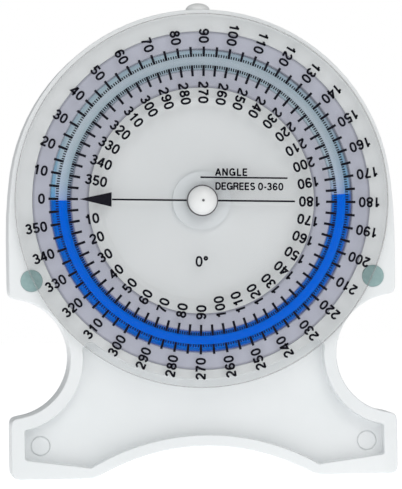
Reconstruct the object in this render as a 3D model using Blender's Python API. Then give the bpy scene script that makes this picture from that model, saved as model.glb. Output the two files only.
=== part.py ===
"""Goniometer of the bubble-inclinometer kind: fluid ring, turning dial and two-footed housing.

Frame: +Z up, the dial faces -Y, +X to the right of someone reading the dial. The origin is the
centre of the overall depth, under the middle of the two soles.
"""
import math

import bmesh
import bpy

MM = 0.001

# --- heights and centres (mm) ---
DIAL_Z = 71.2            # dial axis above the soles
HEAD_R = 49.3            # rounded head of the housing
HALF_WIDTH = 49.9        # flat flanks and feet
EAR_Z = -24.7            # lower corner of the flank, from the dial axis
NOTCH_X = 49.6           # centre of the round finger notch
NOTCH_Z = -39.95
NOTCH_R = 15.25
SOLE_Z = -71.2
SOLE_INNER_X = 28.6      # inner end of each flat sole
ARCH_Z = -63.2           # top of the arch between the feet
ARCH_R = 55.0
CORNER_R = 1.6           # outline corners

# --- depths along Y (mm); the front is negative ---
BACK_Y = 12.0
FRONT_Y = -6.0
KNOB_TIP_Y = -12.0
DIAL_BACK_Y = -6.3
DIAL_THICK = 2.0
DIAL_FRONT_Y = DIAL_BACK_Y - DIAL_THICK
GAP = 0.3                # clearance between neighbouring pieces

# --- housing features (mm) ---
WALL = 2.2
WEB_DEPTH = 4.0          # sunken web between the legs
GROOVE_IN_R = 29.05      # annular groove that takes the fluid ring
GROOVE_OUT_R = 43.5
GROOVE_FLOOR_Y = 1.8
DISH_R = 25.7            # shallow dish in the middle of the face
DISH_DEPTH = 0.9
LAND_R = 45.9            # edge of the round face above the web
NOTCH_RIM = 3.3          # raised rim around each finger notch
WEB_CORNERS = ((29.14, -38.0, 2.0), (45.7, -58.7, 0.6), (45.7, -65.48, 0.6), (29.5, -67.66, 0.6))  # x, z, radius
ARCH_RIM = 2.9           # rim between the arch and the web
POST_R = 6.0             # pivot post inside the shell
BORE_R = 2.1
COVER_THICK = 2.0
COVER_INSET = 3.0        # outline of the cover inside the outline of the housing
LEDGE = 1.2              # step that the cover rests on
SCREW_POSTS = ((-29.5, 29.5), (29.5, 29.5), (-37.5, -16.0), (37.5, -16.0), (-24.0, -52.5), (24.0, -52.5))
SCREW_POST_R = 3.2
PAD_X = 44.0
PAD_Z = -20.0
PAD_R = 2.8

# --- fluid ring (mm) ---
TUBE_R = 36.25           # centre line of the channel
CHANNEL_R = 2.85
FLUID_R = 2.55
RING_FRONT_Y = -5.9
RING_SPLIT_Y = -1.95
RING_BACK_Y = 1.2
RING_IN_R = 29.4
RING_OUT_R = 43.2

# --- dial hardware (mm) ---
DIAL_R = 48.1
PIN_R = 2.0
PLUG_TOP = 50.95         # top of the filler plug above the dial axis
WASHER_R = 7.5
KNOB_R = 3.8

RING_STEPS = 72


def clear_scene():
    for thing in list(bpy.context.scene.objects):
        bpy.data.objects.remove(thing, do_unlink=True)


def new_collection(name):
    made = bpy.data.collections.new(name)
    bpy.context.scene.collection.children.link(made)
    return made


clear_scene()
PARTS = new_collection("goniometer")
CUTTERS = new_collection("cutters")


def material(name, colour, roughness, metallic=0.0, alpha=1.0):
    made = bpy.data.materials.new(name)
    made.use_nodes = True
    shader = made.node_tree.nodes["Principled BSDF"]
    shader.inputs["Base Color"].default_value = (*colour, 1.0)
    shader.inputs["Roughness"].default_value = roughness
    shader.inputs["Metallic"].default_value = metallic
    shader.inputs["Alpha"].default_value = alpha
    return made


def mesh_object(name, verts, faces, collection=PARTS):
    mesh = bpy.data.meshes.new(name)
    mesh.from_pydata([(x * MM, y * MM, z * MM) for x, y, z in verts], [], faces)
    work = bmesh.new()
    work.from_mesh(mesh)
    bmesh.ops.recalc_face_normals(work, faces=work.faces)
    work.to_mesh(mesh)
    work.free()
    made = bpy.data.objects.new(name, mesh)
    collection.objects.link(made)
    if collection is CUTTERS:
        made.hide_render = True
        made.display_type = "WIRE"
    return made


def slab(name, outline, front_y, back_y, collection=PARTS, front_outline=None):
    """A flat plate: an outline in X and Z about the dial axis, from front_y to back_y."""
    first = front_outline or outline
    count = len(outline)
    verts = [(x, front_y, z + DIAL_Z) for x, z in first]
    verts += [(x, back_y, z + DIAL_Z) for x, z in outline]
    faces = [list(range(count)), list(range(count, 2 * count))[::-1]]
    for i in range(count):
        j = (i + 1) % count
        faces.append([i, j, count + j, count + i])
    return mesh_object(name, verts, faces, collection)


def turned(name, profile, centre=(0.0, 0.0), steps=RING_STEPS, collection=PARTS):
    """A closed (radius, y) profile turned about the Y direction; a radius of 0 lies on the axis."""
    cx, cz = centre
    verts, rows = [], []
    for radius, y in profile:
        if radius == 0.0:
            rows.append([len(verts)] * steps)
            verts.append((cx, y, cz + DIAL_Z))
            continue
        start = len(verts)
        for i in range(steps):
            a = math.tau * i / steps
            verts.append((cx + radius * math.cos(a), y, cz + DIAL_Z + radius * math.sin(a)))
        rows.append([start + i for i in range(steps)])
    faces = []
    for k, row in enumerate(rows):
        following = rows[(k + 1) % len(rows)]
        for i in range(steps):
            j = (i + 1) % steps
            corners = []
            for v in (row[i], row[j], following[j], following[i]):
                if v not in corners:
                    corners.append(v)
            if len(corners) > 2:
                faces.append(corners)
    return mesh_object(name, verts, faces, collection)


def disc(name, radius, front_y, back_y, centre=(0.0, 0.0), steps=RING_STEPS, collection=PARTS):
    profile = [(0.0, front_y), (radius, front_y), (radius, back_y), (0.0, back_y)]
    return turned(name, profile, centre, steps, collection)


def ring(name, inner, outer, front_y, back_y, centre=(0.0, 0.0), steps=RING_STEPS, collection=PARTS):
    profile = [(inner, front_y), (outer, front_y), (outer, back_y), (inner, back_y)]
    return turned(name, profile, centre, steps, collection)


def boolean(target, tool, operation):
    step = target.modifiers.new(tool.name, "BOOLEAN")
    step.operation = operation
    step.solver = "EXACT"
    step.object = tool
    bpy.context.view_layer.update()
    graph = bpy.context.evaluated_depsgraph_get()
    result = bpy.data.meshes.new_from_object(target.evaluated_get(graph))
    target.modifiers.clear()
    old = target.data
    target.data = result
    bpy.data.meshes.remove(old)
    bpy.data.objects.remove(tool, do_unlink=True)


def tidy(target):
    """Weld the seams that the cuts leave and drop slivers."""
    work = bmesh.new()
    work.from_mesh(target.data)
    bmesh.ops.remove_doubles(work, verts=work.verts, dist=0.00001)
    bmesh.ops.dissolve_degenerate(work, edges=work.edges, dist=0.000005)
    work.to_mesh(target.data)
    work.free()


def arc(cx, cz, radius, start_deg, end_deg, steps):
    points = []
    for i in range(steps + 1):
        a = math.radians(start_deg + (end_deg - start_deg) * i / steps)
        points.append((cx + radius * math.cos(a), cz + radius * math.sin(a)))
    return points


def mirrored(right_half):
    """Close an outline from its right half, which runs from the top centre down to the bottom centre."""
    left = [(-x, z) for x, z in reversed(right_half) if abs(x) > 1e-6]
    return right_half + left


def rounded(points, radius, steps=4, limit_deg=25.0):
    """Round the sharp corners of a closed outline."""
    out = []
    count = len(points)
    for i in range(count):
        px, pz = points[i - 1]
        x, z = points[i]
        nx, nz = points[(i + 1) % count]
        ax, az = px - x, pz - z
        bx, bz = nx - x, nz - z
        la, lb = math.hypot(ax, az), math.hypot(bx, bz)
        ax, az, bx, bz = ax / la, az / la, bx / lb, bz / lb
        turn = math.degrees(math.acos(max(-1.0, min(1.0, -(ax * bx + az * bz)))))
        if turn < limit_deg:
            out.append((x, z))
            continue
        reach = min(radius * math.tan(math.radians(turn / 2)), 0.45 * la, 0.45 * lb)
        for k in range(steps + 1):
            t = k / steps
            u = (1 - t) ** 2
            w = t ** 2
            out.append((x + reach * (u * ax + w * bx), z + reach * (u * az + w * bz)))
    return out


def arch_curve(start_z, radius, steps=14):
    """Right half of the round arch, from start_z up to the middle."""
    spread = math.degrees(math.acos((start_z - ARCH_Z + ARCH_R) / radius))
    return arc(0.0, ARCH_Z - ARCH_R, radius, 90.0 - spread, 90.0, steps)


def housing_half(grow, corner_steps=14):
    """Right half of the housing outline; grow moves it outward (negative: inward)."""
    head = HEAD_R + grow
    flank = HALF_WIDTH + grow
    notch = NOTCH_R - grow
    side_z = -6.0
    top = arc(0.0, 0.0, head, 90.0, 6.0, 22)
    points = top + [(flank, side_z)]
    half_mouth = math.degrees(math.acos((flank - NOTCH_X) / notch))
    points += arc(NOTCH_X, NOTCH_Z, notch, half_mouth, 360.0 - half_mouth, corner_steps * 2)
    points.append((flank, SOLE_Z - grow))
    points += arch_curve(SOLE_Z - grow, ARCH_R - grow)
    return points


def housing_outline(grow=0.0, corner=CORNER_R):
    return rounded(mirrored(housing_half(grow)), corner)


def bearing(start, end):
    return math.degrees(math.atan2(end[1] - start[1], end[0] - start[0]))


def web_outline(inset=0.0):
    """Sunken web between the legs: land above, finger notches beside, arch below, rounded corners."""
    axis, notch, arch = (0.0, 0.0), (NOTCH_X, NOTCH_Z), (0.0, ARCH_Z - ARCH_R)
    peak, flank, heel, toe = WEB_CORNERS
    sole = bearing(heel, toe) + math.degrees(math.acos((heel[2] - toe[2]) / math.dist(heel[:2], toe[:2])))
    right = arc(*axis, LAND_R + inset, -90.0, bearing(axis, peak), 12)
    right += arc(*peak[:2], peak[2] - inset, bearing(peak, axis), bearing(peak, notch), 6)[1:-1]
    right += arc(*notch, NOTCH_R + NOTCH_RIM + inset, bearing(notch, peak), 360.0 + bearing(notch, flank), 16)
    right += arc(*flank[:2], flank[2] - inset, bearing(flank, notch), 0.0, 4)[1:]
    right += arc(*heel[:2], heel[2] - inset, 0.0, sole, 4)
    right += arc(*toe[:2], toe[2] - inset, sole, bearing(toe, arch), 4)
    right += arc(*arch, ARCH_R + ARCH_RIM + inset, bearing(arch, toe), 90.0, 10)[1:]
    return right + [(-x, z) for x, z in reversed(right[1:-1])]


def build_housing():
    shell = slab("housing", housing_outline(), FRONT_Y, BACK_Y)
    cover_seat = housing_outline(-COVER_INSET + GAP)
    inner = housing_outline(-COVER_INSET - LEDGE)
    boolean(shell, slab("seat", cover_seat, BACK_Y - COVER_THICK - 0.2, BACK_Y + 1, CUTTERS), "DIFFERENCE")
    deep = GROOVE_FLOOR_Y + WALL
    boolean(shell, slab("hollow", inner, deep, BACK_Y + 1, CUTTERS), "DIFFERENCE")
    middle = FRONT_Y + DISH_DEPTH + WALL
    boolean(shell, ring("core", POST_R, GROOVE_IN_R - WALL, middle, deep + 1, collection=CUTTERS), "DIFFERENCE")
    boolean(shell, disc("bore", BORE_R, FRONT_Y - 2, BACK_Y, steps=32, collection=CUTTERS), "DIFFERENCE")
    leg = FRONT_Y + WEB_DEPTH + WALL
    boolean(shell, slab("leg_core", web_outline(0.5), leg, deep + 1, CUTTERS), "DIFFERENCE")
    for number, centre in enumerate(SCREW_POSTS):
        root = leg if centre[1] < NOTCH_Z else deep
        post = disc(f"post_{number}", SCREW_POST_R, root - 0.5, BACK_Y - COVER_THICK - 0.2, centre, 20, CUTTERS)
        boolean(shell, post, "UNION")
        hole = disc(f"pilot_{number}", 1.25, deep + 0.6, BACK_Y, centre, 16, CUTTERS)
        boolean(shell, hole, "DIFFERENCE")
    groove = ring("groove", GROOVE_IN_R, GROOVE_OUT_R, FRONT_Y - 1, GROOVE_FLOOR_Y, collection=CUTTERS)
    boolean(shell, groove, "DIFFERENCE")
    dish = [(0.0, FRONT_Y - 1), (DISH_R + 0.8, FRONT_Y - 1), (DISH_R + 0.8, FRONT_Y),
            (DISH_R - 0.8, FRONT_Y + DISH_DEPTH), (0.0, FRONT_Y + DISH_DEPTH)]
    boolean(shell, turned("dish", dish, collection=CUTTERS), "DIFFERENCE")
    boolean(shell, slab("web", web_outline(), FRONT_Y - 1, FRONT_Y + WEB_DEPTH, CUTTERS), "DIFFERENCE")
    for side in (-1, 1):
        place = (side * PAD_X, PAD_Z)
        pocket = disc(f"pocket_{side}", PAD_R + 0.15, FRONT_Y - 1, FRONT_Y + 2.3, place, 24, CUTTERS)
        boolean(shell, pocket, "DIFFERENCE")
    boolean(shell, upright_hole("fill_way", 1.85, TUBE_R + 3.6), "DIFFERENCE")
    boolean(shell, upright_hole("seal_seat", 2.6, HEAD_R - 0.9), "DIFFERENCE")
    tidy(shell)
    return shell


def upright(name, profile, centre_y, steps=28, collection=PARTS):
    """A closed (radius, z) profile turned about an upright axis above the dial axis."""
    verts, rows = [], []
    for radius, z in profile:
        if radius == 0.0:
            rows.append([len(verts)] * steps)
            verts.append((0.0, centre_y, z + DIAL_Z))
            continue
        start = len(verts)
        for i in range(steps):
            a = math.tau * i / steps
            verts.append((radius * math.cos(a), centre_y + radius * math.sin(a), z + DIAL_Z))
        rows.append([start + i for i in range(steps)])
    faces = []
    for k, row in enumerate(rows):
        following = rows[(k + 1) % len(rows)]
        for i in range(steps):
            j = (i + 1) % steps
            corners = []
            for v in (row[i], row[j], following[j], following[i]):
                if v not in corners:
                    corners.append(v)
            if len(corners) > 2:
                faces.append(corners)
    return mesh_object(name, verts, faces, collection)


def upright_hole(name, radius, bottom):
    """A cutter for the filling way, from bottom (above the dial axis) out through the head."""
    profile = [(0.0, bottom), (radius, bottom), (radius, HEAD_R + 5), (0.0, HEAD_R + 5)]
    return upright(name, profile, RING_SPLIT_Y, 20, CUTTERS)


def half_circle(radius, side, steps=9):
    """Half of the channel's round section, as (radius, y) from the outer edge to the inner edge."""
    points = []
    for i in range(steps + 1):
        a = math.pi * i / steps
        points.append((TUBE_R + radius * math.cos(a), RING_SPLIT_Y + side * radius * math.sin(a)))
    return points


def build_fluid_ring():
    front = [(RING_IN_R, RING_FRONT_Y), (RING_OUT_R, RING_FRONT_Y), (RING_OUT_R, RING_SPLIT_Y - 0.02)]
    front += [(r, y - 0.02) for r, y in half_circle(CHANNEL_R, -1)]
    front.append((RING_IN_R, RING_SPLIT_Y - 0.02))
    front_half = turned("ring_front", front)
    back = [(RING_IN_R, RING_BACK_Y), (RING_OUT_R, RING_BACK_Y), (RING_OUT_R, RING_SPLIT_Y + 0.02)]
    back += [(r, y + 0.02) for r, y in half_circle(CHANNEL_R, 1)]
    back.append((RING_IN_R, RING_SPLIT_Y + 0.02))
    back_half = turned("ring_back", back)
    for half in (front_half, back_half):
        boolean(half, upright_hole(f"port_{half.name}", 1.35, TUBE_R + 1.0), "DIFFERENCE")
        tidy(half)
    ring("ring_backing", RING_IN_R, RING_OUT_R, RING_BACK_Y + 0.05, GROOVE_FLOOR_Y - 0.05)


def build_fluid():
    """The lower half of the channel, filled: its two flat ends are the fluid's level."""
    steps, around = 40, 16
    verts, faces = [], []
    for i in range(steps + 1):
        a = math.pi + math.pi * i / steps
        for k in range(around):
            b = math.tau * k / around
            r = TUBE_R + FLUID_R * math.cos(b)
            y = RING_SPLIT_Y + FLUID_R * math.sin(b)
            verts.append((r * math.cos(a), y, DIAL_Z + r * math.sin(a)))
    for i in range(steps):
        for k in range(around):
            n = (k + 1) % around
            faces.append([i * around + k, i * around + n, (i + 1) * around + n, (i + 1) * around + k])
    faces.append(list(range(around)))
    faces.append([steps * around + k for k in range(around)][::-1])
    mesh_object("indicator_fluid", verts, faces)


def build_dial():
    edge = 0.35
    profile = [(BORE_R + 0.2, DIAL_FRONT_Y), (DIAL_R - edge, DIAL_FRONT_Y), (DIAL_R, DIAL_FRONT_Y + edge),
               (DIAL_R, DIAL_BACK_Y - edge), (DIAL_R - edge, DIAL_BACK_Y), (BORE_R + 0.2, DIAL_BACK_Y)]
    turned("dial", profile)
    ring("dial_washer", PIN_R + 0.15, WASHER_R, DIAL_BACK_Y + 0.05, FRONT_Y + DISH_DEPTH - 0.05, steps=48)
    ring("knob_washer", PIN_R + 0.15, KNOB_R + 0.25, DIAL_FRONT_Y - 0.35, DIAL_FRONT_Y - 0.05, steps=36)
    base = DIAL_FRONT_Y - 0.4
    dome = [(0.9, KNOB_TIP_Y), (1.9, KNOB_TIP_Y + 0.25), (2.9, KNOB_TIP_Y + 0.95), (3.5, KNOB_TIP_Y + 1.8),
            (KNOB_R, base - 0.25), (KNOB_R, base), (PIN_R + 0.1, base), (PIN_R + 0.1, base - 1.6), (0.9, base - 1.6)]
    turned("knob", dome, steps=36)
    clip_y = GROOVE_FLOOR_Y + WALL + 1.0
    pin = [(0.0, KNOB_TIP_Y + 0.35), (0.75, KNOB_TIP_Y + 0.45), (0.75, base - 1.5), (PIN_R, base - 1.4),
           (PIN_R, clip_y), (PIN_R - 0.5, clip_y), (PIN_R - 0.5, clip_y + 0.7), (PIN_R, clip_y + 0.7),
           (PIN_R, clip_y + 1.9), (PIN_R - 0.4, clip_y + 2.3), (0.0, clip_y + 2.3)]
    turned("pivot_pin", pin, steps=32)
    wave = wave_washer("wave_washer", 2.3, 4.6, GROOVE_FLOOR_Y + WALL + 0.1, 0.35, 0.2)
    clip = retaining_clip("retaining_clip", PIN_R - 0.45, 3.9, clip_y + 0.08, 0.54)
    return wave, clip


def wave_washer(name, inner, outer, front_y, lift, thick, steps=48):
    """A thin spring washer with three gentle waves."""
    verts, faces = [], []
    for i in range(steps):
        a = math.tau * i / steps
        y = front_y + lift * 0.5 * (1 - math.cos(3 * a))
        for radius, back in ((inner, 0.0), (outer, 0.0), (outer, thick), (inner, thick)):
            verts.append((radius * math.cos(a), y + back, DIAL_Z + radius * math.sin(a)))
    for i in range(steps):
        j = (i + 1) % steps
        for k in range(4):
            n = (k + 1) % 4
            faces.append([4 * i + k, 4 * i + n, 4 * j + n, 4 * j + k])
    return mesh_object(name, verts, faces)


def retaining_clip(name, inner, outer, front_y, thick):
    """An open E-shaped clip pushed on from above."""
    outline = arc(0.0, 0.0, outer, 120.0, 420.0, 30)
    outline += arc(0.0, 0.0, inner, 420.0, 120.0, 24)
    return slab(name, outline, front_y, front_y + thick)


def build_plug():
    """The filler plug: a low dome on the head, and a stem that reaches the ring."""
    seat = HEAD_R + 0.25
    top = PLUG_TOP
    dome = [(0.0, top), (1.3, top - 0.15), (2.5, top - 0.6), (3.3, seat + 0.4), (3.45, seat), (1.5, seat),
            (1.5, RING_OUT_R + 0.6), (1.1, RING_OUT_R + 0.2), (1.1, TUBE_R + CHANNEL_R + 0.6),
            (0.0, TUBE_R + CHANNEL_R + 0.6)]
    upright("filler_plug", dome, RING_SPLIT_Y)
    seal = [(1.6, HEAD_R - 0.8), (2.45, HEAD_R - 0.8), (2.45, HEAD_R + 0.1), (1.6, HEAD_R + 0.1)]
    upright("plug_seal", seal, RING_SPLIT_Y)


def build_pads():
    for side, label in ((-1, "left"), (1, "right")):
        disc(f"friction_pad_{label}", PAD_R, FRONT_Y - 0.2, FRONT_Y + 2.2, (side * PAD_X, PAD_Z), 32)


def build_cover():
    cover = slab("back_cover", housing_outline(-COVER_INSET), BACK_Y - COVER_THICK, BACK_Y)
    for number, centre in enumerate(SCREW_POSTS):
        sink = [(0.0, BACK_Y + 0.5), (2.5, BACK_Y + 0.5), (2.5, BACK_Y - 0.1), (1.7, BACK_Y - 0.9),
                (1.7, BACK_Y - 3.0), (0.0, BACK_Y - 3.0)]
        boolean(cover, turned(f"sink_{number}", sink, centre, 16, CUTTERS), "DIFFERENCE")
    tidy(cover)
    for number, centre in enumerate(SCREW_POSTS, start=1):
        head = [(0.0, BACK_Y - 0.15), (2.2, BACK_Y - 0.15), (2.2, BACK_Y - 0.25), (1.15, BACK_Y - 1.3),
                (1.15, BACK_Y - 5.2), (0.7, BACK_Y - 5.8), (0.0, BACK_Y - 5.8)]
        screw = turned(f"cover_screw_{number}", head, centre, 16)
        for turn in (0, 1):
            wide, narrow = (1.3, 0.25) if turn == 0 else (0.25, 1.3)
            cx, cz = centre
            outline = [(cx - wide, cz - narrow), (cx + wide, cz - narrow), (cx + wide, cz + narrow),
                       (cx - wide, cz + narrow)]
            boolean(screw, slab(f"cross_{turn}", outline, BACK_Y - 0.8, BACK_Y + 1, CUTTERS), "DIFFERENCE")
        tidy(screw)


build_housing()
build_fluid_ring()
build_fluid()
build_dial()
build_plug()
build_pads()
build_cover()

LOOKS = {
    "white_plastic": material("white_plastic", (0.80, 0.82, 0.83), 0.4),
    "clear_plastic": material("clear_plastic", (0.88, 0.90, 0.93), 0.08, alpha=0.3),
    "ring_plastic": material("ring_plastic", (0.80, 0.81, 0.88), 0.1, alpha=0.35),
    "backing_grey": material("backing_grey", (0.36, 0.37, 0.42), 0.6),
    "washer_nylon": material("washer_nylon", (0.70, 0.74, 0.76), 0.45),
    "blue_fluid": material("blue_fluid", (0.01, 0.12, 0.56), 0.1),
    "steel": material("steel", (0.62, 0.63, 0.65), 0.3, metallic=1.0),
    "pad_rubber": material("pad_rubber", (0.28, 0.39, 0.39), 0.7),
    "seal_rubber": material("seal_rubber", (0.03, 0.03, 0.03), 0.7),
}
SLOTS = {
    "housing": "white_plastic", "back_cover": "white_plastic", "knob": "white_plastic",
    "filler_plug": "white_plastic", "ring_front": "ring_plastic", "ring_back": "ring_plastic",
    "ring_backing": "backing_grey", "indicator_fluid": "blue_fluid", "dial": "clear_plastic",
    "dial_washer": "washer_nylon", "pivot_pin": "steel", "wave_washer": "steel",
    "retaining_clip": "steel", "friction_pad_left": "pad_rubber", "friction_pad_right": "pad_rubber",
    "plug_seal": "seal_rubber", "knob_washer": "seal_rubber",
}
for thing in PARTS.objects:
    slot = SLOTS.get(thing.name, "steel")
    own = LOOKS[slot].copy()
    own.name = f"{thing.name}_{slot}"
    thing.data.materials.clear()
    thing.data.materials.append(own)
for spare in LOOKS.values():
    bpy.data.materials.remove(spare)
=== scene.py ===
"""Looks of the goniometer: moulded white housing, clear dial with printed degree scales, fluid ring.

Sizes are in millimetres about the dial axis: x to the right, z up, y from front (-) to back (+).
"""
import math

import bmesh
import bpy
from mathutils import Matrix, Quaternion, Vector


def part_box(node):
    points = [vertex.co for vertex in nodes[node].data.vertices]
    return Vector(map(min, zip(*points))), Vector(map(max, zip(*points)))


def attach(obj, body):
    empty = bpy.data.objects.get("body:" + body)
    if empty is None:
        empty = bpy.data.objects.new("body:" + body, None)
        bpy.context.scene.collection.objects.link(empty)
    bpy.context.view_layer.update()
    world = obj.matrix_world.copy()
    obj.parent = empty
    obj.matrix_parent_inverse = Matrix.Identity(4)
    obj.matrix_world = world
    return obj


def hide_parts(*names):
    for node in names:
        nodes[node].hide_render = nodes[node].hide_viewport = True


MM = 0.001
TAU = math.tau

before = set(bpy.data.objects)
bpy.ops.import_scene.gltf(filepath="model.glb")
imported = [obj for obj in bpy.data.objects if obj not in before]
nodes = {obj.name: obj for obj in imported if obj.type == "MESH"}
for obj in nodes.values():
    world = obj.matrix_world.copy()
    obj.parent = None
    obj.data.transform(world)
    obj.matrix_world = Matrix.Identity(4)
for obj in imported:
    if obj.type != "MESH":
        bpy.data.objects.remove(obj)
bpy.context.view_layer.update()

# --- the frame's own levels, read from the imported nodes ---
dial_low, dial_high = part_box("dial")
DIAL_Z = (dial_low[2] + dial_high[2]) / 2 / MM
DIAL_R = (dial_high[0] - dial_low[0]) / 2 / MM
DIAL_FRONT = dial_low[1] / MM
DIAL_BACK = dial_high[1] / MM
housing_low, housing_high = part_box("housing")
FACE_Y = housing_low[1] / MM
BACK_Y = housing_high[1] / MM
HALF_WIDTH = housing_high[0] / MM
HEAD_R = housing_high[2] / MM - DIAL_Z
SOLE_Z = -DIAL_Z
KNOB_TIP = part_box("knob")[0][1] / MM
KNOB_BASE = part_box("knob")[1][1] / MM
RING_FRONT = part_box("ring_front")[0][1] / MM
RING_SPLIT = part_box("ring_front")[1][1] / MM + 0.02
BACKING_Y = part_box("ring_backing")[0][1] / MM
GROOVE_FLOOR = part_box("ring_backing")[1][1] / MM + 0.05
PLUG_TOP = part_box("filler_plug")[1][2] / MM - DIAL_Z

# --- housing ---
NOTCH_X, NOTCH_Z, NOTCH_R = 49.6, -39.95, 15.25
NOTCH_RIM = 3.3
ARCH_TOP = -63.2
ARCH_R = 55.0
ARCH_RIM = 2.9
LAND_R = 45.9
GROOVE_IN, GROOVE_OUT = 29.05, 43.5
WEB_DEPTH = 4.0
# Each web corner is x, z and radius.
WEB_CORNERS = ((29.14, -38.0, 2.0), (45.7, -58.7, 0.6), (45.7, -65.48, 0.6), (29.5, -67.66, 0.6))
WALL = 2.2
DRAFT = 0.1
PAD_X, PAD_Z, PAD_R = 44.0, -20.0, 2.8
MARK_X, MARK_Z, MARK_R = 42.2, -62.5, 2.6       # ejector marks in the web
STAMP_X, STAMP_Z, STAMP_R = -29.2, 36.7, 2.05   # ejector mark on the face

# --- fluid ring ---
TUBE_R = 36.25
CHANNEL_R = 2.85
FLUID_R = 2.55
RING_IN, RING_OUT = 29.4, 43.2
LEVEL_LEFT, LEVEL_RIGHT = 0.9, 1.9     # degrees the fluid stands above the axis at each side

# --- print on the dial ---
SCALE_TURN = -1.4        # degrees the dial stands turned from upright
INK_Y = DIAL_FRONT - 0.015
OUTER_TICK = (36.9, 39.5, 37.65)      # start, end of the 5 degree lines, end of the 1 degree lines
INNER_TICK = (34.75, 31.9, 33.95)
LONG_WIDTH = 0.64
SHORT_WIDTH = 0.33
OUTER_TEXT_R = 40.4
INNER_TEXT_R = 30.55
NUMERAL_H = 2.55
NUMERAL_WEIGHT = 0.215    # stroke width in numeral heights
POINTER_TIP, POINTER_BASE, POINTER_HALF = -31.6, -23.3, 1.88


# ----------------------------------------------------------------------------- mesh helpers

def put(name, verts, faces, body, smooth_deg=35.0, node=None, slot=None):
    """A mesh piece from millimetre points about the dial axis, riding on a body.

    With no body it is a solid to be cut or to cut with, and stays in millimetres.
    """
    mesh = bpy.data.meshes.new(name)
    unit = MM if body else 1.0
    mesh.from_pydata([(x * unit, y * unit, (z + DIAL_Z) * unit) for x, y, z in verts], [], faces)
    work = bmesh.new()
    work.from_mesh(mesh)
    bmesh.ops.recalc_face_normals(work, faces=work.faces)
    work.to_mesh(mesh)
    work.free()
    made = bpy.data.objects.new(name, mesh)
    bpy.context.scene.collection.objects.link(made)
    if body:
        dress(made, body, smooth_deg, node)
    return made


def dress(piece, body, smooth_deg=35.0, node=None):
    piece.data.shade_smooth()
    piece.data.set_sharp_from_angle(angle=math.radians(smooth_deg))
    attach(piece, body)
    if node:
        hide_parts(node)


def turned(name, profile, body=None, centre=(0.0, 0.0), steps=180, **more):
    """A closed (radius, y) profile turned about the Y direction."""
    cx, cz = centre
    verts, rows = [], []
    for radius, y in profile:
        if radius == 0.0:
            rows.append([len(verts)] * steps)
            verts.append((cx, y, cz))
            continue
        rows.append([len(verts) + i for i in range(steps)])
        for i in range(steps):
            a = TAU * i / steps
            verts.append((cx + radius * math.cos(a), y, cz + radius * math.sin(a)))
    return put(name, verts, bridge(rows, steps), body, **more)


def bridge(rows, steps):
    faces = []
    for k, row in enumerate(rows):
        following = rows[(k + 1) % len(rows)]
        for i in range(steps):
            j = (i + 1) % steps
            corners = []
            for v in (row[i], row[j], following[j], following[i]):
                if v not in corners:
                    corners.append(v)
            if len(corners) > 2:
                faces.append(corners)
    return faces


def loft(name, outline, levels, body=None, **more):
    """An outline swept through (grow, y) levels, closed by a flat face at each end."""
    verts = []
    count = len(outline)
    for grow, y in levels:
        verts += [(x, y, z) for x, z in offset(outline, grow)]
    faces = [list(range(count)), [count * (len(levels) - 1) + i for i in range(count)][::-1]]
    for k in range(len(levels) - 1):
        for i in range(count):
            j = (i + 1) % count
            faces.append([k * count + i, k * count + j, (k + 1) * count + j, (k + 1) * count + i])
    return put(name, verts, faces, body, **more)


def offset(outline, grow):
    """Move a clockwise outline outward by grow along its vertex normals."""
    if grow == 0.0:
        return list(outline)
    out = []
    count = len(outline)
    for i in range(count):
        px, pz = outline[i - 1]
        x, z = outline[i]
        nx, nz = outline[(i + 1) % count]
        a = Vector((-(z - pz), x - px)).normalized()
        b = Vector((-(nz - z), nx - x)).normalized()
        m = (a + b).normalized()
        reach = grow / max(0.5, m.dot(a))
        out.append((x + m.x * reach, z + m.y * reach))
    return out


def cut(target, tool, operation="DIFFERENCE"):
    step = target.modifiers.new(tool.name, "BOOLEAN")
    step.operation = operation
    step.solver = "EXACT"
    step.object = tool
    bpy.context.view_layer.update()
    graph = bpy.context.evaluated_depsgraph_get()
    result = bpy.data.meshes.new_from_object(target.evaluated_get(graph))
    target.modifiers.clear()
    target.data = result
    bpy.data.objects.remove(tool, do_unlink=True)


def arc(cx, cz, radius, start_deg, end_deg, steps):
    points = []
    for i in range(steps + 1):
        a = math.radians(start_deg + (end_deg - start_deg) * i / steps)
        points.append((cx + radius * math.cos(a), cz + radius * math.sin(a)))
    return points


def softened(points, reach, step=0.3, bend_deg=4.0, longest=6.0):
    """Round a closed outline's corners over about reach, then keep only the points its bends need."""
    line = []
    count = len(points)
    for i in range(count):
        here, after = Vector(points[i]), Vector(points[(i + 1) % count])
        parts = max(1, round((after - here).length / step))
        line += [here.lerp(after, k / parts) for k in range(parts)]
    for _ in range(max(1, round(2 * (reach / 2 / step) ** 2))):
        line = [(line[i - 1] + line[i] * 2 + line[(i + 1) % len(line)]) / 4 for i in range(len(line))]
    kept = []
    turned_by, run = 0.0, 0.0
    for i, here in enumerate(line):
        before, after = here - line[i - 1], line[(i + 1) % len(line)] - here
        turned_by += abs(math.degrees(before.angle(after)))
        run += before.length
        if turned_by >= bend_deg or run >= longest or i == 0:
            kept.append(tuple(here))
            turned_by, run = 0.0, 0.0
    return kept


def both_sides(right_half):
    """Close an outline whose right half runs clockwise from the top centre to the bottom centre."""
    left = [(-x, z) for x, z in reversed(right_half) if abs(x) > 1e-6]
    return right_half + left


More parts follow.
